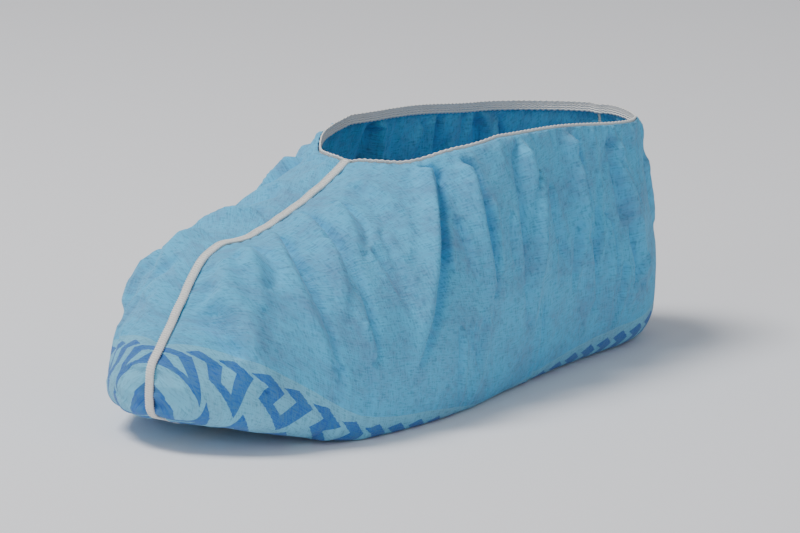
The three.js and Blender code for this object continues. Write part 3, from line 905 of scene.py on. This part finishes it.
def build_elastic(settings, left, right):
    """Flat ribbed elastic inside the opening's edge, a closed loop."""
    trim = settings.trim
    right_edge = np.array(right["opening_edge"]).reshape(-1, 3)
    left_edge = np.array(left["opening_edge"]).reshape(-1, 3)
    loop = np.vstack([right_edge, left_edge[::-1], right_edge[:1]])
    travelled = travelled_along(loop)
    count = int(travelled[-1] / BAND_STEP)
    places = np.linspace(0, travelled[-1], count, endpoint=False)
    even = running_mean(points_at(places, travelled, loop), 4)
    tangent = np.roll(even, -3, axis=0) - np.roll(even, 3, axis=0)
    tangent /= np.linalg.norm(tangent, axis=1, keepdims=True)
    middle = np.array([(OPENING_FRONT + 1) / 2 - 0.5, 0, 0]) * LENGTH
    inward = np.stack([middle[0] - even[:, 0], -even[:, 1] * 2.2, np.zeros(count)], 1)
    inward /= np.linalg.norm(inward, axis=1, keepdims=True)
    out = -inward - tangent * np.sum(-inward * tangent, axis=1, keepdims=True)
    out /= np.linalg.norm(out, axis=1, keepdims=True)
    out = running_mean(out, 10)
    out /= np.linalg.norm(out, axis=1, keepdims=True)
    across = np.cross(tangent, out)
    across *= np.sign(across[:, 2:3])
    half = trim.elastic_width / 2
    sunk = settings.cloth.thickness + BAND_GAP + trim.elastic_thickness / 2
    centre = even - out * sunk + across * (BAND_PROUD - half)

    share = np.linspace(-1, 1, 4 * BAND_RIBS + 1)
    lobes = np.abs(np.sin(np.pi * BAND_RIBS * (share + 1) / 2)) ** 0.6
    gathers = 1 + BAND_GATHER * np.sin(2 * np.pi * places / BAND_GATHER_PITCH)
    edge_wave = BAND_WAVE_RISE * np.sin(2 * np.pi * places / BAND_WAVE_PITCH)
    depth = trim.elastic_thickness / 2 * (0.45 + 0.55 * lobes)
    outline_across = np.concatenate([share * half, share[::-1] * half])
    outline_out = np.concatenate([depth, -depth])
    sides = len(outline_across)
    rings = (
        centre[:, None]
        + across[:, None] * (outline_across[None, :, None] + edge_wave[:, None, None])
        + out[:, None] * (outline_out[None, :, None] * gathers[:, None, None])
    )
    flat = np.zeros((count, sides, 2))
    flat[:, :, 0] = places[:, None]
    flat[:, :, 1] = outline_across[None]
    piece = mesh_object(
        "opening_band",
        rings.reshape(-1, 3),
        ring_faces(count, sides, closed=True),
        flat.reshape(-1, 2),
        elastic_material(trim),
    )
    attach(piece, "root")
    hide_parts("opening_elastic")


# Camera, as fitted to the photograph: its angle and distance, then a closer crop of that view
CAMERA_AZIMUTH = math.radians(-54.23)
CAMERA_ELEVATION = math.radians(10.64)
CAMERA_DISTANCE = 2.0 * SIZE
CAMERA_SIDE = 91.3 * MM
CAMERA_RISE = 44.7 * MM
CAMERA_LENS = 214.0
SENSOR_WIDTH = 36.0
CLIP_END = 30.0
CAMERA_TARGET = (0, 0, 50 * MM)  # the camera's place is measured from here
CROP_CENTRE = (0.004, 0, 48 * MM)  # what it looks at
LIGHT_TARGET = (0, 0, 0.05)
KEY_POWER = 40.0
FILL_POWER = 6.0
FRONT_POWER = 8.0
SKY_COLOUR = (0.86, 0.88, 0.92, 1)
SKY_STRENGTH = 0.38
FLOOR_LIGHT = (0.90, 0.90, 0.93)
FLOOR_DARK = (0.84, 0.84, 0.87)
FLOOR_REACH = 14.0
FLOOR_DROP = 0.4 * MM  # keeps the floor just clear of the sole


def photo_axes():
    """Directions back towards the camera, right and up in its picture."""
    back = Vector(
        (
            math.sin(CAMERA_AZIMUTH) * math.cos(CAMERA_ELEVATION),
            -math.cos(CAMERA_AZIMUTH) * math.cos(CAMERA_ELEVATION),
            math.sin(CAMERA_ELEVATION),
        )
    )
    right = Vector((math.cos(CAMERA_AZIMUTH), math.sin(CAMERA_AZIMUTH), 0))
    return back, right, back.cross(right)


def add_light(name, place, aim, size, power, colour):
    """Soft square light that faces a point."""
    data = bpy.data.lights.new(name, "AREA")
    data.size = size
    data.energy = power
    data.color = colour
    light = bpy.data.objects.new(name, data)
    light.location = place
    light.rotation_euler = (aim - place).to_track_quat("-Z", "Y").to_euler()
    bpy.context.scene.collection.objects.link(light)


def build_stage():
    """Wide pale floor, soft lights and the camera."""
    back, right, up = photo_axes()
    level_back = Vector((back.x, back.y, 0)).normalized()
    corners = [(-FLOOR_REACH, -FLOOR_REACH), (FLOOR_REACH, -FLOOR_REACH)]
    corners += [(FLOOR_REACH, FLOOR_REACH), (-FLOOR_REACH, FLOOR_REACH)]
    points = [(along, sideways, -FLOOR_DROP) for along, sideways in corners]
    tree = Tree("pale_floor", 0.9, 0.0)
    place = tree.node("ShaderNodeTexCoord", {}, output=3)
    grain = tree.noise(place, 40.0)
    colour = tree.mix(grain * 0.1, FLOOR_LIGHT, FLOOR_DARK)
    material = tree.finish(colour, 0.88 + grain * 0.05, grain, 0.1 * MM)
    floor = mesh_object("floor", points, [(0, 1, 2, 3)], material=material)

    aim = Vector(LIGHT_TARGET)
    key = aim - right * 0.9 + back * 0.1 + Vector((0, 0, 1.9))
    fill = aim + right * 1.3 + level_back * 1.6 + Vector((0, 0, 0.9))
    front = aim - right * 1.2 + level_back * 1.9 + Vector((0, 0, 0.7))
    add_light("key", key, aim, 0.8, KEY_POWER, (1.0, 0.99, 0.97))
    add_light("fill", fill, aim, 1.5, FILL_POWER, (0.96, 0.98, 1.0))
    add_light("front", front, aim, 1.0, FRONT_POWER, (1.0, 1.0, 1.0))
    world = bpy.data.worlds.new("studio")
    world.use_nodes = True
    sky = world.node_tree.nodes["Background"].inputs
    sky["Color"].default_value = SKY_COLOUR
    sky["Strength"].default_value = SKY_STRENGTH
    bpy.context.scene.world = world

    data = bpy.data.cameras.new("photo_camera")
    data.sensor_width = SENSOR_WIDTH
    data.lens = CAMERA_LENS
    data.clip_end = CLIP_END
    camera = bpy.data.objects.new("photo_camera", data)
    location = Vector(CAMERA_TARGET) + back * CAMERA_DISTANCE + right * CAMERA_SIDE + up * CAMERA_RISE
    toward = (location - Vector(CROP_CENTRE)).normalized()
    level = Vector((0, 0, 1)).cross(toward).normalized()
    turn = Matrix((level, toward.cross(level), toward)).transposed()
    camera.matrix_world = Matrix.Translation(location) @ turn.to_4x4()
    bpy.context.scene.collection.objects.link(camera)
    bpy.context.scene.camera = camera


class ShoeCoverSettings(bpy.types.PropertyGroup):
    """All settings of the shoe cover."""

    cloth: PointerProperty(name="Cloth", description="The printed panels", type=ClothSizes)
    trim: PointerProperty(name="Trim", description="The seam and the elastic", type=TrimSizes)


class AddPanels(bpy.types.Operator):
    """Adds the two folded cloth panels."""

    bl_idname = "shoe_cover.panels"
    bl_label = "Add Cloth Panels"

    def execute(self, context):
        settings = context.scene.shoe_cover
        build_panel("left_cloth", "panel_left", LEFT_FOLDS, -1, settings)
        build_panel("right_cloth", "panel_right", RIGHT_FOLDS, 1, settings)
        return {"FINISHED"}


class AddSeam(bpy.types.Operator):
    """Adds the bound seam that joins the panels."""

    bl_idname = "shoe_cover.seam"
    bl_label = "Add Bound Seam"

    def execute(self, context):
        build_seam(context.scene.shoe_cover)
        return {"FINISHED"}


class AddElastic(bpy.types.Operator):
    """Adds the elastic band of the opening."""

    bl_idname = "shoe_cover.elastic"
    bl_label = "Add Opening Elastic"

    def execute(self, context):
        left = bpy.data.objects["left_cloth"]
        right = bpy.data.objects["right_cloth"]
        build_elastic(context.scene.shoe_cover, left, right)
        return {"FINISHED"}


class DeclareCloth(bpy.types.Operator):
    """Takes no step: it changes nothing in the scene."""

    bl_idname = "shoe_cover.declare"
    bl_label = "Declare Cut Sizes"

    def execute(self, context):
        return {"FINISHED"}


class AddStage(bpy.types.Operator):
    """Adds the floor, the lights and the camera."""

    bl_idname = "shoe_cover.stage"
    bl_label = "Add Stage"

    def execute(self, context):
        build_stage()
        return {"FINISHED"}


OPERATORS = (AddPanels, AddSeam, AddElastic, DeclareCloth, AddStage)


class ShoeCoverPanel(bpy.types.Panel):
    """Lists the shoe cover's sizes, colours and building steps."""

    bl_idname = "VIEW3D_PT_shoe_cover"
    bl_label = "Shoe Cover"
    bl_space_type = "VIEW_3D"
    bl_region_type = "UI"
    bl_category = "Shoe Cover"

    def draw(self, context):
        settings = context.scene.shoe_cover
        for group in (settings.cloth, settings.trim):
            box = self.layout.box()
            for name in group.bl_rna.properties.keys():
                if name not in ("rna_type", "name"):
                    box.prop(group, name)
        for operator in OPERATORS:
            self.layout.operator(operator.bl_idname)


CLASSES = (ClothSizes, TrimSizes, ShoeCoverSettings, *OPERATORS, ShoeCoverPanel)


def register():
    for each in CLASSES:
        bpy.utils.register_class(each)
    bpy.types.Scene.shoe_cover = PointerProperty(type=ShoeCoverSettings)


def unregister():
    del bpy.types.Scene.shoe_cover
    for each in reversed(CLASSES):
        bpy.utils.unregister_class(each)


def main():
    register()
    bpy.ops.shoe_cover.panels()
    bpy.ops.shoe_cover.seam()
    bpy.ops.shoe_cover.elastic()
    bpy.ops.shoe_cover.declare()
    bpy.ops.shoe_cover.stage()


if __name__ == "__main__":
    main()
